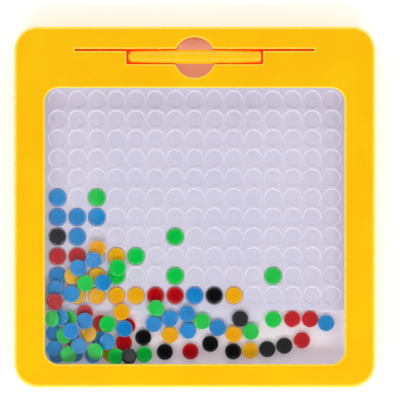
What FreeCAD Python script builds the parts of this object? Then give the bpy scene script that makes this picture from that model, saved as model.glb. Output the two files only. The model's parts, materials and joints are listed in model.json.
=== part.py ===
import FreeCAD, Part
import math
import os
import re
import Sketcher

# Magnetic bead drawing board, lying flat on its back.  A yellow two-shell case holds a white bead
# tray under a clear window.  The tray carries a plate of round wells and, below it, a deeper
# reservoir of loose coloured beads.  A magnetic pen lies in a recess above the window, across a
# round finger hole, on one line with a narrow slot that a pattern card stands in.
#
# Frame: +Z comes out of the front, +Y runs from the reservoir to the pen, and the origin lies on
# the back face at the middle of the board.  Millimetres.

doc = FreeCAD.newDocument("BeadBoard")
sheet = doc.addObject("Spreadsheet::Sheet", "Sizes")
layout = doc.addObject("App::FeaturePython", "Layout")

# ---------------------------------------------------------------- driving sizes

SIZES = {
    "bead_width": 11.5,          # diameter of a bead
    "bead_thick": 3.4,
    "bead_low_edge": 1.3,        # rounding of the lower rim, which leads the bead into a well
    "bead_top_edge": 1.0,
    "dish_rim": 0.65,            # flat ring between a bead's rim and the shallow dish in its top
    "dish_depth": 0.25,
    "gate_width": 1.0,           # small moulding mark in the middle of the dish
    "core_width": 5.6,           # steel slug pressed into the underside
    "core_thick": 1.8,
    "core_play": 0.05,
    "bead_gap": 0.1,             # air kept round a loose bead
    "column_count": 15,
    "row_count": 11,
    "mouth_extra": 1.8,          # how much wider a well's mouth is than a bead
    "floor_less": 0.8,           # how much narrower a well's floor is than a bead
    "well_depth": 1.6,
    "land_width": 0.35,          # narrowest land between two well mouths
    "plate_thick": 2.4,
    "plate_play": 0.3,
    "side_rim": 1.45,            # from the outer well mouths to the window's edge
    "top_rim": 0.75,
    "shelf_rim": 3.55,           # from the last row of mouths to the step
    "reservoir_lines": 3,        # bead widths from the step to the window's edge
    "reservoir_play": 2.4,
    "ramp_left_lines": 3.565,    # ramp in the step, in bead widths from the middle of the board
    "ramp_right_lines": 4.215,
    "ramp_run_lines": 1.13,
    "ramp_cheek": 4,             # how far each cheek of the ramp closes in at its toe
    "ramp_toe": 0.3,
    "side_border": 21.35,
    "top_border": 42.7,
    "bottom_border": 16.3,
    "board_corner": 16.5,
    "window_corner": 9.5,
    "lip_cover": 1.5,            # how far the window's lip covers the edge of the bead chamber
    "lean_limit": 47,            # steepest lean of a loose bead, degrees
    "heap_room": 2.25,           # spare height under the window over the tallest heap
    "stack_room": 0.7,           # the same over three beads stacked on a well
    "tray_wall": 2,
    "tray_floor": 2,
    "pane_thick": 2,
    "face_thick": 2.5,
    "cover_thick": 2.4,
    "cover_rim": 4,              # height of the parting line above the back face
    "shell_wall": 2.4,
    "seat_wall": 2,
    "seat_play": 0.3,            # between the tray or the window and the wall round them
    "face_edge": 2.6,
    "window_edge": 1.4,
    "back_edge": 1.5,
    "pen_length": 92.2,
    "pen_width": 10,
    "pen_end_width": 8.1,
    "pen_side_play": 0.325,
    "pen_end_play": 1.25,
    "pen_floor_play": 0.1,
    "pen_rise": 0.8,             # how far the pen stands above the face
    "pen_nose_length": 9,
    "pen_plug_length": 6,
    "pen_bore": 5.8,
    "spigot_length": 4,
    "spigot_play": 0.05,
    "nose_round": 3.3,
    "plug_round": 1.5,
    "magnet_width": 4.2,
    "magnet_length": 8,
    "tip_wall": 1.6,
    "recess_drop": 20.9,         # from the board's upper edge to the middle of the pen recess
    "recess_corner": 1.6,
    "recess_edge": 1.2,
    "junction_round": 2,
    "nub_place": 24.5,           # from the middle of the pen to each pair of snap nubs
    "nub_width": 2,
    "nub_height": 1.8,
    "nub_play": 0.2,
    "hole_width": 28.4,
    "hole_drop": 0.6,            # the finger hole's centre lies this far below the pen's line
    "hole_wall": 2.2,
    "slot_length": 166,
    "slot_width": 1.5,
    "cradle_wall": 2.2,
    "boss_width": 8.4,
    "boss_room": 0.6,            # between a screw boss and the outer wall
    "cover_boss_height": 2.6,
    "pilot_width": 2.9,
    "pilot_depth": 10,
    "screw_width": 2.7,
    "screw_hole_width": 3.4,
    "screw_length": 11,
    "head_width": 5.6,
    "head_thick": 2,
    "head_sink": 2.4,            # depth of the counterbore for a screw head
    "head_hole_width": 6.4,
    "cross_length": 3.2,
    "cross_width": 0.8,
    "cross_depth": 1.2,
}

# ---------------------------------------------------------------- places that follow from them

LAYOUT = {
    "dish_width": "bead_width - 2 * bead_top_edge - 2 * dish_rim",
    "ramp_left": "ramp_left_lines * bead_width",
    "ramp_right": "ramp_right_lines * bead_width",
    "ramp_run": "ramp_run_lines * bead_width",
    "mouth_width": "bead_width + mouth_extra",
    "well_floor_width": "bead_width - floor_less",
    "pitch": "mouth_width + land_width",
    "window_width": "(column_count - 1) * pitch + mouth_width + 2 * side_rim",
    "shelf_run": "(row_count - 1) * pitch + mouth_width + top_rim + shelf_rim",
    "reservoir_run": "reservoir_lines * bead_width + reservoir_play",
    "board_right": "window_width / 2 + side_border",
    "board_top": "(shelf_run + reservoir_run + top_border + bottom_border) / 2",
    "window_right": "window_width / 2",
    "window_low": "bottom_border - board_top",
    "window_high": "board_top - top_border",
    "first_column": "-(column_count - 1) * pitch / 2",
    "first_row": "window_high - top_rim - mouth_width / 2",
    "shelf_front": "window_high - shelf_run",
    "chamber_right": "window_right + lip_cover",
    "chamber_low": "window_low - lip_cover",
    "chamber_high": "window_high + lip_cover",
    "chamber_corner": "window_corner + lip_cover",
    "tray_right": "chamber_right + tray_wall",
    "tray_low": "chamber_low - tray_wall",
    "tray_high": "chamber_high + tray_wall",
    "tray_corner": "chamber_corner + tray_wall",
    "seat_right": "tray_right + seat_play",
    "seat_low": "tray_low - seat_play",
    "seat_high": "tray_high + seat_play",
    "seat_corner": "tray_corner + seat_play",
    "lean_height": "bead_width * sin(lean_limit * 1deg) + bead_thick * cos(lean_limit * 1deg)",
    "layer_height": "3 * (bead_thick + bead_gap)",
    "chamber_depth": "max(lean_height; layer_height) + heap_room",
    "stack_height": "3 * bead_thick - well_depth + stack_room",
    "reservoir_floor": "cover_thick + tray_floor",
    "pane_under": "reservoir_floor + chamber_depth",
    "pane_over": "pane_under + pane_thick",
    "face": "pane_over + face_thick",
    "land": "pane_under - stack_height",
    "well_floor": "land - well_depth",
    "shelf": "land - plate_thick",
    "pen_line": "board_top - recess_drop",
    "pen_axis": "face + pen_rise - pen_width / 2",
    "recess_half": "pen_width / 2 + pen_side_play",
    "recess_end": "pen_length / 2 + pen_end_play",
    "recess_floor": "pen_axis - pen_width / 2 - pen_floor_play",
    "pen_swell": "(pen_width - pen_end_width) / 2",
    "pen_nose_joint": "pen_length / 2 - pen_nose_length",
    "pen_plug_joint": "pen_length / 2 - pen_plug_length",
    "pen_arc": "((pen_length / 2)^2 + pen_swell^2) / (2 * pen_swell)",
    "pen_nose_half": "pen_width / 2 - pen_arc + sqrt(pen_arc^2 - pen_nose_joint^2)",
    "pen_plug_half": "pen_width / 2 - pen_arc + sqrt(pen_arc^2 - pen_plug_joint^2)",
    "pen_nub_half": "pen_width / 2 - pen_arc + sqrt(pen_arc^2 - nub_place^2)",
    "nub_reach": "recess_half - pen_nub_half - nub_play",
    "slot_high": "pen_line + recess_half",
    "hole_line": "pen_line - hole_drop",
    "boss_inset": "shell_wall + boss_room + boss_width / 2",
    "boss_end": "cover_thick + cover_boss_height",
}


def spelled(rule):
    """Write a rule out with each bare name led by the object that holds it."""
    def owned(match):
        word = match.group(0)
        if word in SIZES:
            return "Sizes." + word
        if word in LAYOUT:
            return "Layout." + word
        return word
    return re.sub(r"[a-z][a-z_]*", owned, rule)


def bind(thing, place, rule):
    """Tie a property or a constraint to a rule."""
    thing.setExpression(place, spelled(rule))


def amount(rule):
    """The number that a rule gives now."""
    return float(sheet.evalExpression(spelled(rule)))


def fill_sheet():
    for row, (name, value) in enumerate(SIZES.items(), start=1):
        sheet.set("A%d" % row, name.replace("_", " "))
        sheet.set("B%d" % row, str(value))
        sheet.setAlias("B%d" % row, name)
    doc.recompute()


def fill_layout():
    for name, rule in LAYOUT.items():
        layout.addProperty("App::PropertyFloat", name)
        bind(layout, name, rule)
    doc.recompute()


# ---------------------------------------------------------------- sketches and features

def new_body(label):
    body = doc.addObject("PartDesign::Body", label)
    body.Label = label
    return body


def sketch_on(body, role, name, level=None):
    """A sketch on one of the body's own origin planes, raised to a level where one is given."""
    sketch = body.newObject("Sketcher::SketchObject", name)
    plane = next(item for item in body.Origin.OriginFeatures if item.Role == role)
    sketch.AttachmentSupport = [(plane, "")]
    sketch.MapMode = "FlatFace"
    if level is not None:
        bind(sketch, "AttachmentOffset.Base.z", level)
        sketch.AttachmentOffset = FreeCAD.Placement(
            FreeCAD.Vector(0, 0, amount(level)), FreeCAD.Rotation())
    return sketch


def measured(sketch, kind, *where, rule):
    """A dimension bound to a rule."""
    index = sketch.addConstraint(Sketcher.Constraint(kind, *where, amount(rule)))
    sketch.setExpression("Constraints[%d]" % index, spelled(rule))


def pin(sketch, item, point, across, along):
    """Hold a point of a sketch at a place from the origin."""
    measured(sketch, "DistanceX", -1, 1, item, point, rule=across)
    measured(sketch, "DistanceY", -1, 1, item, point, rule=along)


def outline(sketch, corners):
    """A closed outline of straight edges through corners, each given by two rules."""
    points = [FreeCAD.Vector(amount(across), amount(along), 0) for across, along in corners]
    count = len(points)
    first = sketch.GeometryCount
    for index in range(count):
        edge = Part.LineSegment(points[index], points[(index + 1) % count])
        sketch.addGeometry(edge, False)
    for index, (across, along) in enumerate(corners):
        before = first + (index - 1) % count
        sketch.addConstraint(Sketcher.Constraint("Coincident", before, 2, first + index, 1))
        pin(sketch, first + index, 1, across, along)


def rectangle(sketch, left, right, low, high):
    outline(sketch, [(left, low), (right, low), (right, high), (left, high)])


def circle(sketch, across, along, width):
    centre = FreeCAD.Vector(amount(across), amount(along), 0)
    item = sketch.addGeometry(Part.Circle(centre, FreeCAD.Vector(0, 0, 1), amount(width) / 2), False)
    pin(sketch, item, 3, across, along)
    measured(sketch, "Diameter", item, rule=width)


def rounded_rectangle(sketch, left, right, low, high, corner):
    """A rectangle whose four corners are arcs of one radius."""
    x0, x1, y0, y1, radius = [amount(rule) for rule in (left, right, low, high, corner)]
    first = sketch.GeometryCount
    sides = [((x0 + radius, y0), (x1 - radius, y0)), ((x1, y0 + radius), (x1, y1 - radius)),
             ((x1 - radius, y1), (x0 + radius, y1)), ((x0, y1 - radius), (x0, y0 + radius))]
    for start, end in sides:
        sketch.addGeometry(Part.LineSegment(FreeCAD.Vector(*start, 0), FreeCAD.Vector(*end, 0)), False)
    centres = [(x1 - radius, y0 + radius), (x1 - radius, y1 - radius),
               (x0 + radius, y1 - radius), (x0 + radius, y0 + radius)]
    for index, centre in enumerate(centres):
        round_edge = Part.Circle(FreeCAD.Vector(*centre, 0), FreeCAD.Vector(0, 0, 1), radius)
        start = math.radians(90 * index - 90)
        sketch.addGeometry(Part.ArcOfCircle(round_edge, start, start + math.pi / 2), False)
    for index in range(4):
        side = first + index
        arc = first + 4 + index
        after = first + (index + 1) % 4
        sketch.addConstraint(Sketcher.Constraint("Tangent", side, 2, arc, 1))
        sketch.addConstraint(Sketcher.Constraint("Tangent", arc, 2, after, 1))
        if index:
            sketch.addConstraint(Sketcher.Constraint("Equal", first + 4, arc))
    sketch.addConstraint(Sketcher.Constraint("Horizontal", first))
    sketch.addConstraint(Sketcher.Constraint("Vertical", first + 1))
    sketch.addConstraint(Sketcher.Constraint("Horizontal", first + 2))
    sketch.addConstraint(Sketcher.Constraint("Vertical", first + 3))
    measured(sketch, "Radius", first + 4, rule=corner)
    measured(sketch, "DistanceY", -1, 1, first, 1, rule=low)
    measured(sketch, "DistanceX", -1, 1, first + 1, 1, rule=right)
    measured(sketch, "DistanceY", -1, 1, first + 2, 1, rule=high)
    measured(sketch, "DistanceX", -1, 1, first + 3, 1, rule=left)


def pad(body, sketch, length, reverse=False):
    feature = body.newObject("PartDesign::Pad", sketch.Name + "_pad")
    feature.Profile = sketch
    feature.Reversed = reverse
    bind(feature, "Length", length)
    sketch.Visibility = False
    doc.recompute()
    return feature


def pocket(body, sketch, depth, upward=False):
    """Cut a sketch into the body, down from its plane unless it is told to go up."""
    before = body.Shape.Volume
    feature = body.newObject("PartDesign::Pocket", sketch.Name + "_pocket")
    feature.Profile = sketch
    feature.Reversed = upward
    bind(feature, "Length", depth)
    doc.recompute()
    if body.Shape.Volume > before - 1e-3:
        raise RuntimeError(feature.Name + " cuts nothing")
    return feature


def turned(body, sketch, axis):
    """Turn a profile right round the sketch's own axis."""
    feature = body.newObject("PartDesign::Revolution", sketch.Name + "_turned")
    feature.Profile = sketch
    feature.ReferenceAxis = (sketch, [axis])
    feature.Angle = 360
    doc.recompute()
    return feature


def rounded_edges(body, name, radius, wanted):
    """Round every edge of the body's last feature for which wanted(edge) is true."""
    base = body.Tip
    chosen = ["Edge%d" % number for number, edge in enumerate(base.Shape.Edges, start=1) if wanted(edge)]
    if not chosen:
        raise RuntimeError(name + " found no edges")
    feature = body.newObject("PartDesign::Fillet", name)
    feature.Base = (base, chosen)
    bind(feature, "Radius", radius)
    doc.recompute()
    if "Invalid" in feature.State or "Error" in feature.State:
        raise RuntimeError(name + " could not round its edges")
    return feature


def lies_at(edge, level):
    """True for an edge that lies wholly in the horizontal plane at a level."""
    box = edge.BoundBox
    return abs(box.ZMin - level) < 1e-4 and abs(box.ZMax - level) < 1e-4


def middle_of(edge):
    return edge.valueAt((edge.FirstParameter + edge.LastParameter) / 2)


def board_outline(sketch, inset="0"):
    rounded_rectangle(sketch, "-(board_right - %s)" % inset, "board_right - %s" % inset,
                      "-(board_top - %s)" % inset, "board_top - %s" % inset,
                      "board_corner - %s" % inset)


def tray_outline(sketch, grow="0"):
    """The tray's outer outline, grown outwards by a rule."""
    rounded_rectangle(sketch, "-(tray_right + %s)" % grow, "tray_right + %s" % grow,
                      "tray_low - (%s)" % grow, "tray_high + %s" % grow, "tray_corner + %s" % grow)


def screw_places():
    """Where the eight screws stand: three down each side and two beside the card slot."""
    side = "(board_right - boss_inset)"
    end = "(board_top - board_corner)"
    upper = "(board_top - boss_inset)"
    places = [(sign + side, along) for sign in ("", "-") for along in ("-" + end, "0", end)]
    return places + [(sign + "slot_length / 3", upper) for sign in ("", "-")]


# ---------------------------------------------------------------- case

def front_frame():
    """Yellow front shell: face, outer wall, wall round the tray, pen cradle and finger tube."""
    body = new_body("front_frame")
    shell = sketch_on(body, "XY_Plane", "shell", "cover_rim")
    board_outline(shell)
    pad(body, shell, "face - cover_rim")

    hollow = sketch_on(body, "XY_Plane", "shell_hollow", "cover_rim")
    board_outline(hollow, "shell_wall")
    pocket(body, hollow, "pane_over - cover_rim", upward=True)

    tray_wall = sketch_on(body, "XY_Plane", "seat_ring", "pane_over")
    tray_outline(tray_wall, "(seat_play + seat_wall)")
    tray_outline(tray_wall, "seat_play")
    pad(body, tray_wall, "pane_over - cover_thick", reverse=True)

    cradle = sketch_on(body, "XY_Plane", "cradle", "pane_over")
    rectangle(cradle, "-(recess_end + cradle_wall)", "recess_end + cradle_wall",
              "pen_line - recess_half - cradle_wall", "slot_high + cradle_wall")
    pad(body, cradle, "pane_over - recess_floor + cradle_wall", reverse=True)

    slot_box = sketch_on(body, "XY_Plane", "slot_box", "pane_over")
    rectangle(slot_box, "-(slot_length / 2 + cradle_wall)", "slot_length / 2 + cradle_wall",
              "slot_high - slot_width - cradle_wall", "slot_high + cradle_wall")
    pad(body, slot_box, "pane_over - recess_floor + cradle_wall", reverse=True)

    tube = sketch_on(body, "XY_Plane", "finger_tube", "pane_over")
    circle(tube, "0", "hole_line", "hole_width + 2 * hole_wall")
    pad(body, tube, "pane_over - cover_thick", reverse=True)

    bosses = sketch_on(body, "XY_Plane", "bosses", "pane_over")
    pilots = sketch_on(body, "XY_Plane", "pilots", "boss_end")
    for across, along in screw_places():
        circle(bosses, across, along, "boss_width")
        circle(pilots, across, along, "pilot_width")
    pad(body, bosses, "pane_over - boss_end", reverse=True)
    pocket(body, pilots, "pilot_depth", upward=True)

    window = sketch_on(body, "XY_Plane", "window", "face")
    rounded_rectangle(window, "-window_right", "window_right", "window_low", "window_high",
                      "window_corner")
    pocket(body, window, "face_thick")
    recess = sketch_on(body, "XY_Plane", "recess", "face")
    rounded_rectangle(recess, "-recess_end", "recess_end", "pen_line - recess_half",
                      "pen_line + recess_half", "min(recess_corner; slot_width * 0.9)")
    pocket(body, recess, "face - recess_floor")
    slot = sketch_on(body, "XY_Plane", "card_slot", "face")
    rectangle(slot, "-slot_length / 2", "slot_length / 2", "slot_high - slot_width", "slot_high")
    pocket(body, slot, "face - recess_floor")
    hole = sketch_on(body, "XY_Plane", "finger_hole", "face")
    circle(hole, "0", "hole_line", "hole_width")
    pocket(body, hole, "face - cover_thick")

    round_front_edges(body)

    nubs = sketch_on(body, "XY_Plane", "nubs", "face - recess_edge - 0.2")
    for side in ("-", ""):
        middle = side + "nub_place"
        for near, far in (("-recess_half - recess_edge", "-recess_half + nub_reach"),
                          ("recess_half - nub_reach", "recess_half + recess_edge")):
            rectangle(nubs, middle + " - nub_width / 2", middle + " + nub_width / 2",
                      "pen_line + (%s)" % near, "pen_line + (%s)" % far)
    pad(body, nubs, "nub_height", reverse=True)
    return body


def round_front_edges(body):
    face = amount("face")
    pen_line = amount("pen_line")
    recess_half = amount("recess_half")
    floor = amount("recess_floor")

    def at_junction(edge):
        box = edge.BoundBox
        upright = box.ZLength > 1 and box.XLength < 1e-4 and box.YLength < 1e-4
        on_wall = abs(abs(box.YMin - pen_line) - recess_half) < 1e-3
        return upright and on_wall and abs(box.XMin) < amount("hole_width") / 2 and box.ZMax > floor + 1

    def on_opening(edge):
        box = edge.BoundBox
        above = box.YMin > pen_line - amount("hole_width") and box.YMax < amount("board_top") - 1
        return lies_at(edge, face) and above and box.XLength < amount("board_right")

    def on_outline(edge):
        box = edge.BoundBox
        reach = max(abs(box.XMin), abs(box.XMax))
        climb = max(abs(box.YMin), abs(box.YMax))
        outer = reach > amount("board_right") - amount("board_corner")
        return lies_at(edge, face) and outer and climb <= amount("board_top") + 1 and not on_window(edge)

    def on_window(edge):
        middle = middle_of(edge)
        inside = abs(middle.x) < amount("window_right") + 1e-3
        between = amount("window_low") - 1e-3 < middle.y < amount("window_high") + 1e-3
        return lies_at(edge, face) and inside and between

    rounded_edges(body, "junction_rounds", "junction_round", at_junction)
    rounded_edges(body, "opening_rounds", "recess_edge", on_opening)
    rounded_edges(body, "window_rounds", "window_edge", on_window)
    rounded_edges(body, "face_rounds", "face_edge", on_outline)


def back_cover():
    """Yellow back shell: a plate with a low rim, screw bosses and the finger hole."""
    body = new_body("back_cover")
    plate = sketch_on(body, "XY_Plane", "plate", "0")
    board_outline(plate)
    pad(body, plate, "cover_rim")
    inside = sketch_on(body, "XY_Plane", "cover_hollow", "cover_rim")
    board_outline(inside, "shell_wall")
    pocket(body, inside, "cover_rim - cover_thick")

    bosses = sketch_on(body, "XY_Plane", "cover_bosses", "cover_thick")
    sinks = sketch_on(body, "XY_Plane", "head_sinks", "0")
    holes = sketch_on(body, "XY_Plane", "screw_holes", "0")
    for across, along in screw_places():
        circle(bosses, across, along, "boss_width")
        circle(sinks, across, along, "head_hole_width")
        circle(holes, across, along, "screw_hole_width")
    pad(body, bosses, "cover_boss_height")
    pocket(body, sinks, "head_sink", upward=True)
    pocket(body, holes, "boss_end", upward=True)

    hole = sketch_on(body, "XY_Plane", "cover_finger_hole", "0")
    circle(hole, "0", "hole_line", "hole_width")
    pocket(body, hole, "cover_thick", upward=True)

    def on_back_rim(edge):
        box = edge.BoundBox
        near_outside = max(abs(box.XMax), abs(box.XMin)) > amount("board_right - board_corner") - 1e-3
        small = box.XLength < amount("head_hole_width") + 1 and box.YLength < amount("head_hole_width") + 1
        return lies_at(edge, 0) and near_outside and not small

    rounded_edges(body, "back_rounds", "back_edge", on_back_rim)
    return body


def window_pane():
    """Clear pane, held between the tray's rim and the lip of the front shell."""
    body = new_body("window_pane")
    sheet_outline = sketch_on(body, "XY_Plane", "pane", "pane_under")
    tray_outline(sheet_outline)
    pad(body, sheet_outline, "pane_thick")
    return body


def case_screws():
    """Eight pan-head screws, driven in from the back."""
    body = new_body("case_screws")
    heads = sketch_on(body, "XY_Plane", "heads", "head_sink")
    shanks = sketch_on(body, "XY_Plane", "shanks", "head_sink")
    for across, along in screw_places():
        circle(heads, across, along, "head_width")
        circle(shanks, across, along, "screw_width")
    pad(body, heads, "head_thick", reverse=True)
    pad(body, shanks, "screw_length")
    drives = sketch_on(body, "XY_Plane", "drives", "head_sink - head_thick")
    for across, along in screw_places():
        cross(drives, across, along, "cross_length / 2", "cross_width / 2")
    pocket(body, drives, "cross_depth", upward=True)
    return body


def cross(sketch, across, along, reach, half):
    """The twelve-cornered outline of a cross recess."""
    quarter = [(reach, "-" + half), (reach, half), (half, half)]
    corners = []
    for turn in range(4):
        for right, up in quarter:
            for step in range(turn):
                right, up = "-(%s)" % up, right
            corners.append(("%s + (%s)" % (across, right), "%s + (%s)" % (along, up)))
    outline(sketch, corners)


# ---------------------------------------------------------------- tray

def bead_tray():
    """White tray: walls up to the pane, a shelf for the well plate, the reservoir and its ramp."""
    body = new_body("bead_tray")
    block = sketch_on(body, "XY_Plane", "tray", "cover_thick")
    tray_outline(block)
    pad(body, block, "pane_under - cover_thick")
    above_shelf = sketch_on(body, "XY_Plane", "chamber", "pane_under")
    rounded_rectangle(above_shelf, "-chamber_right", "chamber_right", "chamber_low", "chamber_high",
                      "chamber_corner")
    pocket(body, above_shelf, "pane_under - shelf")
    reservoir = sketch_on(body, "XY_Plane", "reservoir", "shelf")
    stepped_outline(reservoir, "chamber_right", "shelf_front", "chamber_low", "chamber_corner")
    pocket(body, reservoir, "shelf - reservoir_floor")

    ramp = body.newObject("PartDesign::AdditiveWedge", "ramp")
    bind(ramp, "Xmin", "-ramp_right")
    bind(ramp, "Xmax", "ramp_left")
    bind(ramp, "X2min", "-ramp_right + ramp_cheek")
    bind(ramp, "X2max", "ramp_left - ramp_cheek")
    bind(ramp, "Zmin", "0")
    bind(ramp, "Zmax", "land - reservoir_floor")
    bind(ramp, "Z2min", "0")
    bind(ramp, "Z2max", "ramp_toe")
    bind(ramp, "Ymin", "0")
    bind(ramp, "Ymax", "ramp_run")
    hang(ramp, "0", "shelf_front", "reservoir_floor", turn=180)
    doc.recompute()
    return body


def stepped_outline(sketch, side, square_end, round_end, corner):
    """Square corners at one end, along the step, and round ones at the other."""
    right, square, far, radius = [amount(rule) for rule in (side, square_end, round_end, corner)]
    way = math.copysign(1, far - square)
    turn = far - way * radius
    vector = FreeCAD.Vector
    runs = [(vector(right, square, 0), vector(-right, square, 0)),
            (vector(-right, square, 0), vector(-right, turn, 0)),
            (vector(-right + radius, far, 0), vector(right - radius, far, 0)),
            (vector(right, turn, 0), vector(right, square, 0))]
    for run_start, run_end in runs:
        sketch.addGeometry(Part.LineSegment(run_start, run_end), False)
    quarter = math.pi / 2
    for sign in (-1, 1):
        round_edge = Part.Circle(vector(sign * (right - radius), turn, 0), vector(0, 0, 1), radius)
        angle = math.atan2(way, sign) - quarter / 2
        sketch.addGeometry(Part.ArcOfCircle(round_edge, angle, angle + quarter), False)
    enter, leave = (1, 2) if way < 0 else (2, 1)
    joints = [("Coincident", 0, 2, 1, 1), ("Tangent", 1, 2, 4, enter), ("Tangent", 4, leave, 2, 1),
              ("Tangent", 2, 2, 5, enter), ("Tangent", 5, leave, 3, 1), ("Coincident", 3, 2, 0, 1),
              ("Horizontal", 0), ("Vertical", 1), ("Horizontal", 2), ("Vertical", 3), ("Equal", 4, 5)]
    for joint in joints:
        sketch.addConstraint(Sketcher.Constraint(*joint))
    measured(sketch, "Radius", 4, rule=corner)
    pin(sketch, 0, 1, side, square_end)
    measured(sketch, "DistanceX", -1, 1, 1, 1, rule="-(%s)" % side)
    measured(sketch, "DistanceY", -1, 1, 2, 1, rule=round_end)


def well_plate():
    """White plate of round wells with sloping rims, in columns and rows."""
    body = new_body("well_plate")
    plate = sketch_on(body, "XY_Plane", "well_sheet", "shelf")
    stepped_outline(plate, "chamber_right - plate_play", "shelf_front", "chamber_high - plate_play",
                    "chamber_corner - plate_play")
    pad(body, plate, "plate_thick")

    well = body.newObject("PartDesign::SubtractiveCone", "well")
    bind(well, "Radius1", "well_floor_width / 2")
    bind(well, "Radius2", "mouth_width / 2")
    bind(well, "Height", "well_depth")
    hang(well, "first_column", "first_row", "well_floor")
    wells = body.newObject("PartDesign::LinearPattern", "wells")
    wells.Originals = [well]
    wells.Direction = (origin_item(body, "X_Axis"), [""])
    wells.Direction2 = (origin_item(body, "Y_Axis"), [""])
    wells.Reversed2 = True
    bind(wells, "Length", "(column_count - 1) * pitch")
    bind(wells, "Length2", "(row_count - 1) * pitch")
    bind(wells, "Occurrences", "column_count")
    bind(wells, "Occurrences2", "row_count")
    body.Tip = wells
    doc.recompute()
    return body


def origin_item(body, role):
    return next(item for item in body.Origin.OriginFeatures if item.Role == role)


def hang(feature, across, along, level, turn=None):
    """Place a primitive of a body by rules, turned about the upright axis where asked."""
    feature.AttachmentSupport = [(origin_item(feature.getParentGeoFeatureGroup(), "XY_Plane"), "")]
    feature.MapMode = "FlatFace"
    if turn:
        rotation = FreeCAD.Rotation(FreeCAD.Vector(0, 0, 1), turn)
        feature.AttachmentOffset = FreeCAD.Placement(FreeCAD.Vector(0, 0, 0), rotation)
    for axis, rule in (("x", across), ("y", along), ("z", level)):
        bind(feature, "AttachmentOffset.Base." + axis, rule)
    doc.recompute()


# ---------------------------------------------------------------- pen

def pen_piece(label, corners):
    """A round pen piece, turned about the pen's line from its outline along that line."""
    body = new_body(label)
    profile = sketch_on(body, "XY_Plane", label + "_profile")
    outline(profile, corners)
    turned(body, profile, "H_Axis")
    place(body, "0", "pen_line", "pen_axis")
    return body


def pen_barrel():
    """Hollow barrel that swells to the middle of the pen."""
    body = new_body("pen_barrel")
    profile = sketch_on(body, "XY_Plane", "barrel_profile")
    left, right, bore = "-pen_nose_joint", "pen_plug_joint", "pen_bore / 2"
    corners = [(right, "pen_plug_half"), (right, bore), (left, bore), (left, "pen_nose_half")]
    points = [FreeCAD.Vector(amount(across), amount(up), 0) for across, up in corners]
    for start, end in zip(points, points[1:]):
        profile.addGeometry(Part.LineSegment(start, end), False)
    crown = FreeCAD.Vector(0, amount("pen_width / 2"), 0)
    profile.addGeometry(Part.Arc(points[0], crown, points[-1]), False)
    for index in (0, 1):
        profile.addConstraint(Sketcher.Constraint("Coincident", index, 2, index + 1, 1))
    profile.addConstraint(Sketcher.Constraint("Coincident", 3, 1, 0, 1))
    profile.addConstraint(Sketcher.Constraint("Coincident", 3, 2, 2, 2))
    for index, (across, up) in enumerate(corners[:3]):
        pin(profile, index, 1, across, up)
    pin(profile, 2, 2, *corners[3])
    measured(profile, "Radius", 3, rule="pen_arc")
    turned(body, profile, "H_Axis")
    place(body, "0", "pen_line", "pen_axis")
    return body


def pen_nose():
    """Rounded nose with a spigot in the barrel and a blind bore for the magnet."""
    joint, spigot, bore = "-pen_nose_joint", "pen_bore / 2 - spigot_play", "magnet_width / 2 + core_play"
    inner = "-pen_nose_joint + spigot_length"
    tip = "-pen_length / 2"
    body = pen_piece("pen_nose", [
        (tip, "0"), (tip + " + tip_wall", "0"), (tip + " + tip_wall", bore), (inner, bore),
        (inner, spigot), (joint, spigot), (joint, "pen_nose_half"), (tip, "pen_end_width / 2")])
    end = -amount("pen_length") / 2
    rounded_edges(body, "nose_rounding", "nose_round",
                  lambda edge: abs(edge.BoundBox.XMax - end) < 1e-3 and edge.BoundBox.YLength > 1)
    return body


def pen_end_plug():
    """Flatter plug that closes the other end of the barrel."""
    joint, inner, end = "pen_plug_joint", "pen_plug_joint - spigot_length", "pen_length / 2"
    spigot = "pen_bore / 2 - spigot_play"
    body = pen_piece("pen_end_plug", [
        (inner, "0"), (end, "0"), (end, "pen_end_width / 2"), (joint, "pen_plug_half"),
        (joint, spigot), (inner, spigot)])
    far = amount(end)
    rounded_edges(body, "plug_rounding", "plug_round",
                  lambda edge: abs(edge.BoundBox.XMin - far) < 1e-3 and edge.BoundBox.YLength > 1)
    return body


def pen_magnet():
    """Rod magnet behind the wall of the nose."""
    start = "-pen_length / 2 + tip_wall"
    return pen_piece("pen_magnet", [
        (start, "0"), (start + " + magnet_length", "0"),
        (start + " + magnet_length", "magnet_width / 2"), (start, "magnet_width / 2")])


def place(body, across, along, level):
    for axis, rule in (("x", across), ("y", along), ("z", level)):
        bind(body, "Placement.Base." + axis, rule)
    doc.recompute()


# ---------------------------------------------------------------- beads

def bead_cap(label):
    """Coloured bead: rounded rims, a shallow dish with a moulding mark, a pocket for the slug."""
    body = new_body(label)
    profile = sketch_on(body, "XZ_Plane", label + "_profile")
    pocket_half, top = "core_width / 2 + core_play", "bead_thick"
    dish = "bead_thick - dish_depth"
    outline(profile, [
        (pocket_half, "0"), ("bead_width / 2", "0"), ("bead_width / 2", top),
        ("dish_width / 2", top), ("dish_width / 2 - dish_depth", dish), ("gate_width / 2", dish),
        ("gate_width / 2", "bead_thick - dish_depth / 2"), ("0", "bead_thick - dish_depth / 2"),
        ("0", "core_thick"), (pocket_half, "core_thick")])
    turned(body, profile, "V_Axis")
    half = amount("bead_width") / 2

    def outer_rim(level):
        return lambda edge: lies_at(edge, level) and abs(edge.BoundBox.XMax - half) < 1e-3

    rounded_edges(body, label + "_low_rim", "bead_low_edge", outer_rim(0))
    rounded_edges(body, label + "_top_rim", "bead_top_edge", outer_rim(amount(top)))
    return body


def bead_core(label):
    """Steel slug that the magnet pulls."""
    body = new_body(label)
    slug = sketch_on(body, "XY_Plane", label + "_disc")
    circle(slug, "0", "0", "core_width")
    pad(body, slug, "core_thick")
    return body


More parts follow.
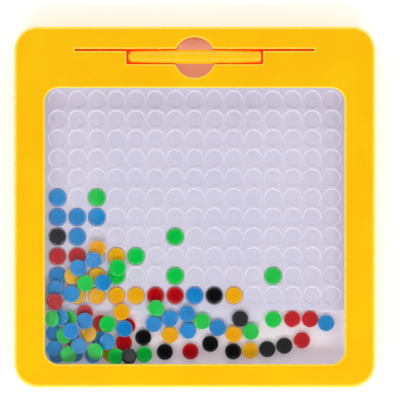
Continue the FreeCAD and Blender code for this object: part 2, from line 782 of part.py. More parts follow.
# Beads sitting in wells: column, row, colour, and whether nothing lies on them, so that they lift.
SEATED = [
    (1, 6, "blue", True), (3, 6, "green", True),
    (1, 7, "blue", True), (2, 7, "blue", True), (3, 7, "blue", True),
    (1, 8, "black", True), (2, 8, "blue", True), (7, 8, "green", True),
    (1, 9, "red", True), (2, 9, "red", False), (4, 9, "yellow", False), (5, 9, "green", True),
    (1, 10, "blue", False), (3, 10, "yellow", False), (4, 10, "green", False),
    (7, 10, "green", True), (12, 10, "green", True),
    (2, 11, "yellow", False), (3, 11, "yellow", False), (4, 11, "yellow", True),
    (5, 11, "yellow", True), (6, 11, "red", False), (7, 11, "red", True), (8, 11, "blue", True),
    (9, 11, "black", True), (10, 11, "yellow", True),
]

# Loose beads, lowest first: colour, then the place of the middle in bead widths, across from the
# middle of the board and up from the reservoir's far wall.  A bead that leans on its neighbours
# also gives the compass side of its low edge and its lean, both in degrees.
LOOSE = [
    ("yellow", -5.90, 7.05), ("yellow", -7.50, 5.44), ("blue", -8.44, 4.70), ("blue", -6.09, 6.42),
    ("blue", -7.05, 5.95), ("green", -4.66, 5.92), ("blue", -5.55, 5.01), ("green", -6.69, 4.97),
    ("blue", -7.46, 4.32), ("red", -8.44, 4.00),
    ("blue", -8.35, 0.62), ("blue", -7.24, 0.68), ("blue", -6.17, 0.60), ("yellow", -5.10, 0.66),
    ("red", -7.50, 1.68), ("blue", -8.53, 1.94), ("blue", -5.75, 1.52), ("red", -5.68, 2.54),
    ("green", -3.05, 0.64), ("red", -4.29, 1.36), ("red", -4.12, 2.33), ("yellow", -6.28, 1.87),
    ("green", -7.60, 2.78, 180, 36), ("blue", -8.06, 2.88, 180, 40), ("green", -8.56, 2.88, 180, 44),
    ("red", -6.79, 3.22), ("blue", -6.72, 2.66), ("green", -5.28, 2.50),
    ("blue", -5.28, 1.61, 180, 28), ("blue", -8.50, 1.00), ("green", -7.65, 0.67),
    ("green", -6.00, 0.86), ("blue", -6.92, 1.17), ("green", -4.95, 0.65), ("green", -7.90, 1.85),
    ("blue", -6.89, 2.10), ("yellow", -4.43, 3.23), ("blue", -4.30, 2.30), ("black", -3.92, 0.54),
    ("black", -1.81, 0.80), ("red", -0.26, 0.83), ("black", 0.94, 1.29), ("black", 2.33, 0.83),
    ("yellow", 3.37, 0.87), ("black", 4.40, 0.97), ("black", 5.43, 1.17), ("black", -3.12, 1.67),
    ("yellow", -1.50, 1.87), ("yellow", 2.36, 1.86), ("green", 3.40, 2.03), ("blue", -0.40, 2.09),
    ("blue", 1.40, 2.26), ("blue", -2.48, 2.50), ("green", 0.45, 2.66), ("black", 2.75, 2.87),
    ("blue", -1.50, 2.94), ("blue", -0.47, 3.12), ("green", -2.34, 3.47), ("red", 5.95, 2.82),
    ("red", 6.99, 2.88),
]

# Loose beads with free floor beside them, which slide on their own: colour and place as above.
SLIDING = [("green", 4.76, 2.76), ("red", 6.50, 1.50), ("blue", 7.97, 2.54)]


def seat_place(column, row):
    return "first_column + %d * pitch" % (column - 1), "first_row - %d * pitch" % (row - 1)


def seated_beads():
    """The beads that lift out of their wells, each a cap and its slug."""
    pieces = []
    for column, row, colour, lifts in SEATED:
        if lifts:
            across, along = seat_place(column, row)
            for make, label in ((bead_cap, "%s_bead_c%d_r%d"), (bead_core, "%s_bead_core_c%d_r%d")):
                piece = make(label % (colour, column, row))
                place(piece, across, along, "well_floor")
                pieces.append(piece)
    return pieces


def sliding_beads():
    pieces = []
    for colour, across, up in SLIDING:
        for make, label in ((bead_cap, "sliding_%s_bead"), (bead_core, "sliding_%s_bead_core")):
            piece = make(label % colour)
            place(piece, "%s * bead_width" % across, "chamber_low + %s * bead_width" % up,
                  "reservoir_floor")
            pieces.append(piece)
    return pieces


class Disc:
    """A bead as a plain tilted disc: its middle, the tilt of its axis, and its rounded-up size."""

    def __init__(self, x, y, z, toward=0.0, lean=0.0):
        self.x, self.y, self.z = x, y, z
        self.toward, self.lean = toward, lean
        self.half_width = amount("bead_width / 2 + bead_gap")
        self.half_thick = amount("(bead_thick + bead_gap) / 2")
        tilt = math.sin(math.radians(lean))
        self.axis = (tilt * math.cos(math.radians(toward)), tilt * math.sin(math.radians(toward)),
                     math.cos(math.radians(lean)))

    def span(self, dx, dy):
        """Lowest and highest points of the disc on an upright line, from its middle, or None."""
        ax, ay, az = self.axis
        along = ax * dx + ay * dy
        low = (-self.half_thick - along) / az
        high = (self.half_thick - along) / az
        flat = 1 - az * az
        beyond = dx * dx + dy * dy - along * along - self.half_width ** 2
        if flat < 1e-9:
            return (low, high) if beyond <= 0 else None
        inside = (along * az) ** 2 - flat * beyond
        if inside < 0:
            return None
        low = max(low, (along * az - math.sqrt(inside)) / flat)
        high = min(high, (along * az + math.sqrt(inside)) / flat)
        return (low, high) if low < high else None

    def rise(self):
        """From the middle of the disc to its highest point."""
        az = self.axis[2]
        return self.half_width * math.sqrt(1 - az * az) + self.half_thick * az


def ground(x, y, sizes):
    """Height of the tray or the well plate under a point, and a wall outside the chamber."""
    right, low, high, corner = sizes["room"]
    inward_x = abs(x) - (right - corner)
    inward_y = max(low + corner - y, y - (high - corner))
    if inward_x > corner or inward_y > corner or \
            (inward_x > 0 and inward_y > 0 and math.hypot(inward_x, inward_y) > corner):
        return math.inf
    if y >= sizes["front"]:
        column = round((x - sizes["first"][0]) / sizes["pitch"])
        row = round((sizes["first"][1] - y) / sizes["pitch"])
        away = math.hypot(x - sizes["first"][0] - column * sizes["pitch"],
                          y - sizes["first"][1] + row * sizes["pitch"])
        floor_half, mouth_half = sizes["well"]
        in_rows = 0 <= row < sizes["rows"] and 0 <= column < sizes["columns"]
        if not in_rows or away >= mouth_half:
            return sizes["land"]
        climb = max(0.0, (away - floor_half) / (mouth_half - floor_half))
        return sizes["well_floor"] + climb * (sizes["land"] - sizes["well_floor"])
    down = (sizes["front"] - y) / sizes["ramp"][2]
    left, right, run, cheek, toe = sizes["ramp"]
    if down < 1 and -left + cheek * down < x < right - cheek * down:
        height = sizes["land"] - sizes["floor"]
        return sizes["floor"] + height + (toe - height) * down
    return sizes["floor"]


def chamber_sizes():
    """The sizes that the heap of loose beads lies in, as numbers.

    The step and the wells' rims stand a margin proud, so that no edge slips between touch points.
    """
    gap = amount("bead_gap")
    margin = amount("bead_width") / 20
    return {
        "room": (amount("chamber_right") - gap, amount("chamber_low") + gap,
                 amount("chamber_high") - gap, amount("chamber_corner") - gap),
        "front": amount("shelf_front") - margin, "land": amount("land"), "floor": amount("reservoir_floor"),
        "first": (amount("first_column"), amount("first_row")), "pitch": amount("pitch"),
        "rows": amount("row_count"), "columns": amount("column_count"),
        "well": (amount("well_floor_width / 2"), amount("mouth_width / 2") - margin),
        "well_floor": amount("well_floor"),
        "ramp": tuple(amount(name) for name in
                      ("ramp_left", "ramp_right", "ramp_run", "ramp_cheek", "ramp_toe")),
    }


def touch_points(disc, spacing):
    """Where a disc comes down, seen from above its middle, with its underside there."""
    reach = int(disc.half_width / spacing) + 1
    points = []
    for i in range(-reach, reach + 1):
        for j in range(-reach, reach + 1):
            span = disc.span(i * spacing, j * spacing)
            if span:
                points.append((i, j, span[0]))
    return points


def lean_poses(spacing):
    """Every lean that a loose bead may take, flat first, with its underside as touch points."""
    poses = [(0, 0)]
    poses += [(side, lean) for lean in range(4, int(amount("lean_limit")) + 1, 4)
              for side in range(0, 360, 30)]
    discs = [Disc(0, 0, 0, side, lean) for side, lean in poses]
    return [(disc, sorted(touch_points(disc, spacing), key=lambda point: point[2])) for disc in discs]


def settle_heap():
    """Let the loose beads down one by one; each takes the lean that brings its middle lowest."""
    sizes = chamber_sizes()
    bead = amount("bead_width")
    spacing = bead / 20
    ceiling = amount("pane_under") - amount("bead_gap")
    poses = lean_poses(spacing)
    reach = int(bead / 2 / spacing) + 2
    lattice = [(i, j) for i in range(-reach, reach + 1) for j in range(-reach, reach + 1)]
    fallen = []
    for column, row, colour, lifts in SEATED:
        x, y = [amount(rule) for rule in seat_place(column, row)]
        fallen.append(Disc(x, y, amount("well_floor + bead_thick / 2")))
    for colour, across, up in SLIDING:
        x, y = amount("%s * bead_width" % across), amount("chamber_low + %s * bead_width" % up)
        fallen.append(Disc(x, y, amount("reservoir_floor + bead_thick / 2")))

    def skyline(x, y):
        """Height of what lies under a bead, at each touch point."""
        near = [disc for disc in fallen if math.hypot(disc.x - x, disc.y - y) < 2.1 * disc.half_width]
        heights = {}
        for i, j in lattice:
            px, py = x + i * spacing, y + j * spacing
            height = ground(px, py, sizes)
            for disc in near:
                span = disc.span(px - disc.x, py - disc.y)
                if span:
                    height = max(height, disc.z + span[1])
            heights[i, j] = height
        return heights

    def lowest(x, y, wanted):
        """Height and pose of a bead that comes down at a place; math.inf where it has no room."""
        heights = skyline(x, y)
        best, chosen = math.inf, None
        for disc, points in poses:
            if wanted and (disc.toward, disc.lean) != wanted:
                continue
            limit = min(best - 1e-6, ceiling - disc.rise())
            z = -math.inf
            for i, j, under in points:
                z = max(z, heights[i, j] - under)
                if z > limit:
                    break
            else:
                best, chosen = z, disc
        return best, chosen

    def ring(x, y, distance):
        return [(x + distance * math.cos(turn * math.pi / 4), y + distance * math.sin(turn * math.pi / 4))
                for turn in range(8)]

    heap = []
    for colour, across, up, *wanted in LOOSE:
        x, y = across * bead, amount("chamber_low") + up * bead
        wanted = tuple(wanted)
        z, pose = lowest(x, y, wanted)
        step = 0
        while pose is None:
            step += 1
            rests = [lowest(*spot, wanted) + spot for spot in ring(x, y, step * bead / 12)]
            z, pose, new_x, new_y = min(rests, key=lambda rest: rest[0])
            if pose:
                x, y = new_x, new_y
            if step > 36:
                raise RuntimeError("a loose bead finds no room")
        for roll in range(0 if wanted else 3):
            rests = [lowest(*spot, wanted) + spot for spot in ring(x, y, bead / 20)]
            lower = min(rests, key=lambda rest: rest[0])
            if lower[0] > z - bead / 100:
                break
            z, pose, x, y = lower
        disc = Disc(x, y, z, pose.toward, pose.lean)
        fallen.append(disc)
        heap.append((colour, disc))
    return heap


def bead_placement(disc):
    """Placement of a bead shape that stands on its origin, for a disc given by its middle."""
    toward = math.radians(disc.toward)
    turn = FreeCAD.Rotation(FreeCAD.Vector(-math.sin(toward), math.cos(toward), 0), disc.lean)
    base = FreeCAD.Vector(disc.x, disc.y, disc.z) - turn.multVec(
        FreeCAD.Vector(0, 0, amount("bead_thick / 2")))
    return FreeCAD.Placement(base, turn)


def copies(label, pattern, placements):
    """One sub-part of many like solids, at their own placements."""
    solids = []
    for placement in placements:
        solid = pattern.Shape.copy()
        solid.Placement = placement
        solids.append(solid)
    group = doc.addObject("Part::Feature", label)
    group.Label = label
    group.Shape = Part.makeCompound(solids)
    return group


def loose_beads():
    """The beads that lie loose or under others, a group of caps to each colour, and their slugs."""
    cap, core = bead_cap("bead_cap_pattern"), bead_core("bead_core_pattern")
    heap = settle_heap()
    for column, row, colour, lifts in SEATED:
        if not lifts:
            x, y = [amount(rule) for rule in seat_place(column, row)]
            heap.append((colour, Disc(x, y, amount("well_floor + bead_thick / 2"))))
    colours = sorted({colour for colour, disc in heap})
    groups = [copies("loose_%s_beads" % colour, cap,
                     [bead_placement(disc) for own, disc in heap if own == colour])
              for colour in colours]
    groups.append(copies("loose_bead_cores", core, [bead_placement(disc) for colour, disc in heap]))
    return groups


# ---------------------------------------------------------------- build, check and write

def check(parts):
    for item in doc.Objects:
        if "Invalid" in item.State or "Error" in item.State:
            raise RuntimeError("%s failed: %s" % (item.Name, item.State))
    labels = [part.Label for part in parts]
    if len(set(labels)) < len(labels):
        raise RuntimeError("two sub-parts share a name")
    for part in parts:
        if part.Shape.isNull() or not part.Shape.isValid():
            raise RuntimeError(part.Label + " has no sound shape")


def write(parts):
    os.makedirs("parts", exist_ok=True)
    for part in parts:
        part.Shape.exportStep(os.path.join("parts", part.Label + ".step"))


def build():
    fill_sheet()
    fill_layout()
    parts = [make() for make in (front_frame, back_cover, window_pane, case_screws, bead_tray,
                                 well_plate, pen_barrel, pen_nose, pen_magnet, pen_end_plug)]
    parts += seated_beads() + sliding_beads() + loose_beads()
    doc.recompute()
    check(parts)
    write(parts)
    return parts


build()
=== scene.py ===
"""Looks of a magnetic bead drawing board: glossy yellow case and pen, a clear window, a milky tray
of wells, and coloured beads round steel slugs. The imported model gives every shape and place."""

import json
import math

import bpy
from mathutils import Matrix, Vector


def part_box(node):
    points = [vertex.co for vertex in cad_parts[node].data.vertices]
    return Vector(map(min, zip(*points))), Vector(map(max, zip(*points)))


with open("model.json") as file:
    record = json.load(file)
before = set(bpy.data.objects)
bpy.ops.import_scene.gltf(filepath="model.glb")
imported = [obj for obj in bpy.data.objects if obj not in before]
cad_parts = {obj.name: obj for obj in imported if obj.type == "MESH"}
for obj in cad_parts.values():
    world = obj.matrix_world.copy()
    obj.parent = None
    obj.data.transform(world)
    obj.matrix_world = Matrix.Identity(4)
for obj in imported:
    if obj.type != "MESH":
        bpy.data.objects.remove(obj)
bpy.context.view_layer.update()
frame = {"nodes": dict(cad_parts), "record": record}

MM = 0.001


# ---- Colours -------------------------------------------------------------------------------

def tint(red, green, blue):
    """A colour given on a 0 to 255 scale, as the shader wants it."""
    def straight(level):
        share = level / 255.0
        return share / 12.92 if share <= 0.04045 else ((share + 0.055) / 1.055) ** 2.4
    return (straight(red), straight(green), straight(blue), 1.0)


CASE_YELLOW = tint(252, 195, 2)
CASE_YELLOW_DEEP = tint(252, 188, 1)
PEN_YELLOW = tint(255, 200, 2)
PEN_YELLOW_DEEP = tint(255, 194, 1)
# Painted highlight colour for the rounded edges of the case and pen.
CASE_YELLOW_EDGE_HIGHLIGHT = tint(255, 238, 84)
RECESS_GLOW = tint(246, 82, 0)
TRAY_MILK = tint(223, 219, 235)
TRAY_MILK_COOL = tint(219, 215, 232)
TRAY_RIM_PAINTED_LIGHT = tint(240, 237, 248)
TRAY_WARM_PAINTED_BOUNCE = tint(250, 238, 240)
TRAY_SEEP = (1.0, 0.93, 0.95, 1.0)
BEAD_COLOURS = {
    "bead_blue": (tint(22, 148, 217), tint(13, 132, 203)),
    "bead_green": (tint(5, 214, 77), tint(2, 200, 65)),
    "bead_red": (tint(204, 2, 20), tint(186, 1, 13)),
    "bead_yellow": (tint(255, 187, 2), tint(254, 173, 1)),
    "bead_black": (tint(9, 8, 11), tint(5, 4, 7)),
}
SLUG_STEEL = tint(196, 197, 200)
MAGNET_PLATE = tint(214, 212, 206)
STUDIO_FLOOR = tint(253, 253, 253)
STUDIO_FLOOR_COOL = tint(250, 250, 251)


# ---- Node work -----------------------------------------------------------------------------

def wire(tree, node, feeds):
    """Feeds each socket by another node's output, or sets it to a value."""
    for socket, feed in feeds.items():
        if isinstance(feed, bpy.types.NodeSocket):
            tree.links.new(feed, node.inputs[socket])
        else:
            node.inputs[socket].default_value = feed


def lay(tree, kind, feeds=None, **settings):
    """A node of that kind, with its settings, each socket fed by a value or by another output."""
    node = tree.nodes.new(kind)
    for name, value in settings.items():
        setattr(node, name, value)
    wire(tree, node, feeds or {})
    return node


def blank_finish(name):
    """A new material's tree, its surface shader, and the place on the piece that patterns read."""
    finish = bpy.data.materials.new(name)
    finish.use_nodes = True
    tree = finish.node_tree
    tree.nodes.clear()
    shader = lay(tree, "ShaderNodeBsdfPrincipled")
    lay(tree, "ShaderNodeOutputMaterial", {"Surface": shader.outputs[0]})
    place = lay(tree, "ShaderNodeTexCoord").outputs["Object"]
    return finish, tree, shader, place


def cloud(tree, place, pitch, detail=2.0, roughness=0.5):
    """Soft noise whose lumps are about pitch across."""
    return lay(tree, "ShaderNodeTexNoise",
               {"Vector": place, "Scale": 1.0 / pitch, "Detail": detail,
                "Roughness": roughness}).outputs["Fac"]


def stretched(tree, place, turn, along):
    """The place turned about Z and drawn out, so that noise on it runs in streaks."""
    turned = lay(tree, "ShaderNodeMapping", {"Vector": place, "Rotation": (0.0, 0.0, turn)})
    return lay(tree, "ShaderNodeMapping",
               {"Vector": turned.outputs[0], "Scale": (1.0 / along, 1.0, 1.0)}).outputs[0]


def ranged(tree, value, low, high, to_low, to_high):
    return lay(tree, "ShaderNodeMapRange",
               {"Value": value, "From Min": low, "From Max": high, "To Min": to_low,
                "To Max": to_high}).outputs[0]


def product(tree, first, second):
    return lay(tree, "ShaderNodeMath", {0: first, 1: second}, operation="MULTIPLY").outputs[0]


def total(tree, first, second):
    return lay(tree, "ShaderNodeMath", {0: first, 1: second}, operation="ADD").outputs[0]


def blended(tree, share, first, second):
    """The first colour where the share is 0 and the second where it is 1."""
    return lay(tree, "ShaderNodeMix", {0: share, 6: first, 7: second}, data_type="RGBA").outputs[2]


def world_slope(tree):
    """How far the surface faces up: 1 on a level top, 0 on an upright wall."""
    return lay(tree, "ShaderNodeSeparateXYZ",
               {0: lay(tree, "ShaderNodeNewGeometry").outputs["Normal"]}).outputs["Z"]


def height_of(tree, place):
    return lay(tree, "ShaderNodeSeparateXYZ", {0: place}).outputs["Z"]


def faded(tree, value, none_at, full_at):
    """0 where the value is at none_at or beyond it, 1 at full_at or beyond it, even between."""
    return ranged(tree, value, none_at, full_at, 0.0, 1.0)


def drift(tree, place, pitch, detail=2.0):
    """A slow wander between 0 and 1, in lumps about pitch across."""
    return faded(tree, cloud(tree, place, pitch, detail), 0.35, 0.65)


def haze(tree, noise, clear, dull):
    """A roughness that goes from clear to dull and back as the noise does."""
    return ranged(tree, noise, 0.3, 0.7, clear, dull)


def edge_highlight_and_wear_mask(tree, place):
    """1 on the rounded upper edges, broken up in patches, and 0 on flats and walls: a painted
    highlight and wear.
    """
    facing = world_slope(tree)
    off_flat = faded(tree, facing, 0.99, 0.90)
    off_wall = faded(tree, facing, 0.05, 0.30)
    patchy = ranged(tree, cloud(tree, place, 2.2 * MM, 3.0), 0.38, 0.62, 0.7, 1.0)
    return product(tree, product(tree, off_flat, off_wall), patchy)


def hairlines(tree, place, pitch, weight):
    """Fine scratches in two directions, as rubbing leaves on gloss: weight on a line, 0 between."""
    lines = None
    for turn in (0.4, 2.0):
        streak = cloud(tree, stretched(tree, place, turn, along=26.0), pitch, detail=1.0)
        line = faded(tree, streak, 0.66, 0.72)
        lines = line if lines is None else total(tree, lines, line)
    return product(tree, lines, weight)


def skin(tree, shader, height, depth, strength):
    """Lets a pattern raise the surface by about depth."""
    bump = lay(tree, "ShaderNodeBump", {"Height": height, "Distance": depth, "Strength": strength})
    tree.links.new(bump.outputs[0], shader.inputs["Normal"])


# ---- Finishes ------------------------------------------------------------------------------

ACRYLIC_IOR = 1.49
RECESS_STRENGTH = 0.3
RECESS_DEPTH = 6 * MM      # how far under the face a recess floor starts to glow


def case_gloss(name, colour, deep, pale, edge_share, deep_from=None):
    """Polished injection-moulded plastic: slow colour drift, flow ripple, scratches, a painted
    highlight on the edges.
    The floor of a recess, below deep_from, is painted orange and has an orange light of its own, a
    painted glow in place of light that comes through the plastic."""
    finish, tree, shader, place = blank_finish(name)
    body = blended(tree, drift(tree, place, 34 * MM), colour, deep)
    edge_highlight_and_wear = edge_highlight_and_wear_mask(tree, place)
    # Painted highlight: the rounded edges are paled towards a brighter yellow; the same mask adds
    # wear roughness below.
    body = blended(tree, product(tree, edge_highlight_and_wear, edge_share), body, pale)
    if deep_from:
        level = faded(tree, world_slope(tree), 0.7, 0.9)
        deep_in = faded(tree, height_of(tree, place), deep_from, deep_from - MM)
        recess = product(tree, level, deep_in)
        # Painted glow: the recess floor is coloured orange here and given a light of its own below.
        body = blended(tree, recess, body, RECESS_GLOW)
        wire(tree, shader, {"Emission Color": RECESS_GLOW,
                            "Emission Strength": product(tree, recess, RECESS_STRENGTH)})
    gloss = haze(tree, cloud(tree, place, 5 * MM, detail=4.0, roughness=0.6), clear=0.17, dull=0.24)
    rubbed = hairlines(tree, place, 0.16 * MM, weight=0.08)
    rough = total(tree, total(tree, gloss, rubbed), product(tree, edge_highlight_and_wear, 0.04))
    wire(tree, shader, {"Base Color": body, "Roughness": rough, "IOR": ACRYLIC_IOR,
                        "Specular IOR Level": 0.35})
    grain = product(tree, cloud(tree, place, 0.45 * MM), 0.06)
    ripple = total(tree, cloud(tree, place, 7 * MM, detail=1.0), grain)
    skin(tree, shader, ripple, depth=0.012 * MM, strength=0.5)
    return finish


def tray_milk(name, reservoir_floor):
    """Milky moulding: painted light makes the wells' sloping walls paler and the deep floor warmer
    and lighter, and a weak light of its own stands in for light that seeps through."""
    finish, tree, shader, place = blank_finish(name)
    body = blended(tree, drift(tree, place, 26 * MM), TRAY_MILK, TRAY_MILK_COOL)
    slope = faded(tree, world_slope(tree), 0.97, 0.80)
    # Painted light: the sloping walls of the wells are paler, as if catching light.
    body = blended(tree, product(tree, slope, 0.6), body, TRAY_RIM_PAINTED_LIGHT)
    low = faded(tree, height_of(tree, place),
                reservoir_floor + 1.0 * MM, reservoir_floor + 0.3 * MM)
    # Painted light: the deep floor is warmer and lighter, a painted warm bounce that lifts its
    # shade.
    body = blended(tree, product(tree, low, 0.8), body, TRAY_WARM_PAINTED_BOUNCE)
    seep = total(tree, ranged(tree, low, 0.0, 1.0, 0.025, 0.11), product(tree, slope, 0.03))
    rough = haze(tree, cloud(tree, place, 4 * MM, detail=3.0), clear=0.34, dull=0.46)
    wire(tree, shader, {"Base Color": body, "Roughness": rough, "Emission Color": TRAY_SEEP,
                        "Emission Strength": seep})
    skin(tree, shader, cloud(tree, place, 0.5 * MM), depth=0.01 * MM, strength=0.4)
    return finish


def bead_gloss(name, colour, deep):
    """Tumbled glossy plastic: each bead a little lighter or darker, a painted highlight that makes
    the rim paler and lifts its shade, with fine rub marks."""
    finish, tree, shader, place = blank_finish(name)
    body = blended(tree, drift(tree, place, 15 * MM, detail=1.0), colour, deep)
    facing = world_slope(tree)
    # Painted highlight: the rounded rim is paled towards a lighter copy of the bead's colour.
    rim = product(tree, ranged(tree, facing, 0.84, 0.62, 0.0, 0.7), faded(tree, facing, 0.0, 0.2))
    pale = tuple(min(1.0, 0.05 + 1.5 * level) for level in colour[:3]) + (1.0,)
    gloss = haze(tree, cloud(tree, place, 1.4 * MM, detail=4.0, roughness=0.6),
                 clear=0.05, dull=0.10)
    rubbed = hairlines(tree, place, 0.10 * MM, weight=0.10)
    wire(tree, shader, {"Base Color": blended(tree, rim, body, pale),
                        "Roughness": total(tree, gloss, rubbed),
                        "Coat Weight": 0.25, "Coat Roughness": 0.05})
    skin(tree, shader, cloud(tree, place, 0.9 * MM), depth=0.006 * MM, strength=0.5)
    return finish


def bright_metal(name, colour, turn, smooth):
    """Tumbled or plated metal: brushing one way, stains, and a soft gloss."""
    finish, tree, shader, place = blank_finish(name)
    stain = ranged(tree, cloud(tree, place, 3 * MM, detail=4.0), 0.3, 0.75, 0.0, 0.35)
    dull = tuple(level * 0.6 for level in colour[:3]) + (1.0,)
    brushing = cloud(tree, stretched(tree, place, turn, along=18.0), 0.12 * MM, detail=3.0)
    wire(tree, shader, {"Base Color": blended(tree, stain, colour, dull),
                        "Roughness": haze(tree, brushing, clear=smooth, dull=smooth + 0.16),
                        "Metallic": 1.0})
    skin(tree, shader, brushing, depth=0.003 * MM, strength=0.5)
    return finish


def window_sheet(name):
    """Clear polished sheet: see-through, mirror-like at a slant, with scratches and smears."""
    finish = bpy.data.materials.new(name)
    finish.use_nodes = True
    tree = finish.node_tree
    tree.nodes.clear()
    place = lay(tree, "ShaderNodeTexCoord").outputs["Object"]
    slant = lay(tree, "ShaderNodeLayerWeight", {"Blend": 0.5}).outputs["Facing"]
    steep = lay(tree, "ShaderNodeMath", {0: slant, 1: 5.0}, operation="POWER").outputs[0]
    shine = ranged(tree, steep, 0.0, 1.0, 0.04, 1.0)
    smear = haze(tree, cloud(tree, place, 22 * MM, detail=3.0), clear=0.015, dull=0.045)
    rough = total(tree, smear, hairlines(tree, place, 0.10 * MM, weight=0.04))
    through = lay(tree, "ShaderNodeBsdfTransparent", {"Color": (0.985, 0.985, 0.99, 1.0)})
    mirror = lay(tree, "ShaderNodeBsdfAnisotropic",
                 {"Color": (1.0, 1.0, 1.0, 1.0), "Roughness": rough})
    mix = lay(tree, "ShaderNodeMixShader", {0: shine, 1: through.outputs[0], 2: mirror.outputs[0]})
    lay(tree, "ShaderNodeOutputMaterial", {"Surface": mix.outputs[0]})
    return finish


FINISHES = {
    "case_yellow": case_gloss("case_yellow_gloss", CASE_YELLOW, CASE_YELLOW_DEEP,
                              CASE_YELLOW_EDGE_HIGHLIGHT, edge_share=0.9,
                              deep_from=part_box("front_frame")[1].z - RECESS_DEPTH),
    "pen_yellow": case_gloss("pen_yellow_gloss", PEN_YELLOW, PEN_YELLOW_DEEP,
                             CASE_YELLOW_EDGE_HIGHLIGHT, edge_share=0.1),
    "clear_window": window_sheet("window_clear"),
    "tray_white": tray_milk("tray_milk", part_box("sliding_green_bead")[0].z),
    "steel": bright_metal("slug_and_screw_steel", SLUG_STEEL, turn=0.3, smooth=0.22),
    "magnet": bright_metal("magnet_nickel", MAGNET_PLATE, turn=1.1, smooth=0.12),
}
for bead_slot, (colour, deep) in BEAD_COLOURS.items():
    FINISHES[bead_slot] = bead_gloss(bead_slot + "_gloss", colour, deep)

for subpart in frame["record"]["subparts"]:
    node = frame["nodes"][subpart["node"]]
    node.data.materials.clear()
    node.data.materials.append(FINISHES[subpart["material_slot"]])


# ---- Studio --------------------------------------------------------------------------------

scene = bpy.context.scene
scene.view_settings.view_transform = "Standard"
scene.cycles.max_bounces = 24
scene.cycles.diffuse_bounces = 24
scene.cycles.transparent_max_bounces = 12

BOARD_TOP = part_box("front_frame")[1]

TENT_CLOTH = (0.98, 0.985, 1.0, 1.0)
OVERHEAD_FROM = 0.955      # height of a direction, of 1 straight up, where the dark patch starts
OVERHEAD_TO = 0.985        # and where it is full
OVERHEAD_GLOW = 0.02
BACKDROP_GLOW = 0.95


def light_tent(name, glow):
    """An even glow from all sides but straight overhead, so that gloss keeps its colour; the lens
    sees the tent pale."""
    room = bpy.data.worlds.new(name)
    room.use_nodes = True
    tree = room.node_tree
    tree.nodes.clear()
    way = lay(tree, "ShaderNodeTexCoord").outputs["Generated"]
    climb = lay(tree, "ShaderNodeSeparateXYZ", {0: way}).outputs["Z"]
    level = ranged(tree, climb, OVERHEAD_FROM, OVERHEAD_TO, glow, OVERHEAD_GLOW)
    looked_at = lay(tree, "ShaderNodeLightPath").outputs["Is Camera Ray"]
    strength = ranged(tree, looked_at, 0.0, 1.0, level, BACKDROP_GLOW)
    back = lay(tree, "ShaderNodeBackground", {"Color": TENT_CLOTH, "Strength": strength})
    lay(tree, "ShaderNodeOutputWorld", {"Surface": back.outputs[0]})
    return room


def soft_panel(name, place, aim, width, height, radiance):
    """A large soft light at a place, turned to shine at the aim point; the lens doesn't see it."""
    light = bpy.data.lights.new(name, "AREA")
    light.shape = "RECTANGLE"
    light.size = width
    light.size_y = height
    light.energy = radiance * math.pi * width * height
    panel = bpy.data.objects.new(name, light)
    scene.collection.objects.link(panel)
    panel.location = place
    way = Vector(aim) - Vector(place)
    panel.rotation_euler = way.to_track_quat("-Z", "Y").to_euler()
    panel.visible_camera = False
    return panel


def round_the_board(name, bearing, climb, reach, width, height, radiance):
    """A soft panel at a bearing from +X and a height angle, both in degrees, facing the board."""
    level = reach * math.cos(math.radians(climb))
    place = (level * math.cos(math.radians(bearing)), level * math.sin(math.radians(bearing)),
             reach * math.sin(math.radians(climb)))
    return soft_panel(name, place, (0.0, 0.0, 0.0), width, height, radiance)


# Four low panels light the walls and rims, and two keys in front give the recesses their depth.
# A side has its bearing from +X in degrees, and a low side its own glow.
TENT_GLOW = 0.58
LOW_CLIMB, LOW_REACH = 28.0, 1.1
LOW_SIZE = (1.3, 0.45)
LOW_SIDES = (("right", 0.0, 0.7), ("back", 90.0, 1.6), ("left", 180.0, 0.7), ("front", 270.0, 0.5))
KEY_CLIMB, KEY_REACH = 46.0, 1.3
KEY_SIZE = (0.30, 0.30)
KEY_GLOW = 13.0
KEY_SIDES = (("left", -120.0), ("right", -60.0))

scene.world = light_tent("pale_tent", TENT_GLOW)
for side, bearing, low_glow in LOW_SIDES:
    round_the_board("low_" + side, bearing, LOW_CLIMB, LOW_REACH, *LOW_SIZE, low_glow)
for side, bearing in KEY_SIDES:
    round_the_board("key_" + side, bearing, KEY_CLIMB, KEY_REACH, *KEY_SIZE, KEY_GLOW)

# Two strips overhead show as pale bands in the window, over its left and right columns.
STRIP_HEIGHT, STRIP_LENGTH = 1.20, 0.5
for side, across, width, glow in (("left", -0.147, 0.066, 0.30), ("right", 0.122, 0.112, 0.14)):
    soft_panel("strip_" + side, (across, 0.0, STRIP_HEIGHT), (across, 0.0, 0.0),
               width, STRIP_LENGTH, glow)

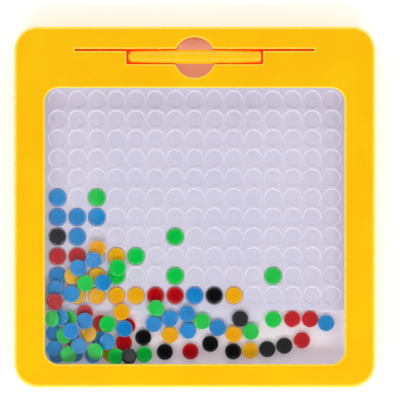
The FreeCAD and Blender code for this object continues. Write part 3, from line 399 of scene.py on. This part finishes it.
FLOOR_SIZE = 6.0
FLOOR_DROP = 0.2 * MM
FLOOR_GLOW = 0.25          # the floor's own light clear of the board, which keeps it white there
FLOOR_GLOW_BELOW = 0.08    # the same under the board
FLOOR_GLOW_FADE = 4 * MM


def floor_matt(name, half_width):
    """Matt and pale, with a light of its own that keeps the surroundings white and the shadow
    weak; the light is dimmer inside a square that reaches half_width from the middle."""
    finish, tree, shader, place = blank_finish(name)
    tone = faded(tree, cloud(tree, place, 400 * MM), 0.3, 0.7)
    spot = lay(tree, "ShaderNodeSeparateXYZ", {0: place}).outputs
    across, along = (lay(tree, "ShaderNodeMath", {0: spot[axis]}, operation="ABSOLUTE").outputs[0]
                     for axis in ("X", "Y"))
    reach = lay(tree, "ShaderNodeMath", {0: across, 1: along}, operation="MAXIMUM").outputs[0]
    glow = ranged(tree, reach, half_width - FLOOR_GLOW_FADE, half_width,
                  FLOOR_GLOW_BELOW, FLOOR_GLOW)
    wire(tree, shader, {"Base Color": blended(tree, tone, STUDIO_FLOOR, STUDIO_FLOOR_COOL),
                        "Emission Color": (1.0, 1.0, 1.0, 1.0), "Emission Strength": glow,
                        "Roughness": 0.9, "Specular IOR Level": 0.1})
    return finish


bpy.ops.mesh.primitive_plane_add(size=FLOOR_SIZE, location=(0.0, 0.0, -FLOOR_DROP))
floor = bpy.context.object
floor.name = "studio_floor"
floor.data.materials.append(floor_matt("floor_matt", BOARD_TOP.x))

VIEW_WIDTH = 276.56 * MM   # how much of the board's width and surroundings the lens takes in
CAMERA_REACH = 1.75
CAMERA_SHIFT = (3.7 * MM, 1.4 * MM)
SENSOR_WIDTH = 36.0
camera_data = bpy.data.cameras.new("camera_overhead")
camera_data.sensor_fit = "HORIZONTAL"
camera_data.sensor_width = SENSOR_WIDTH
camera_data.lens = SENSOR_WIDTH * CAMERA_REACH / VIEW_WIDTH
camera = bpy.data.objects.new("camera_overhead", camera_data)
scene.collection.objects.link(camera)
camera.location = (*CAMERA_SHIFT, BOARD_TOP.z + CAMERA_REACH)
scene.camera = camera
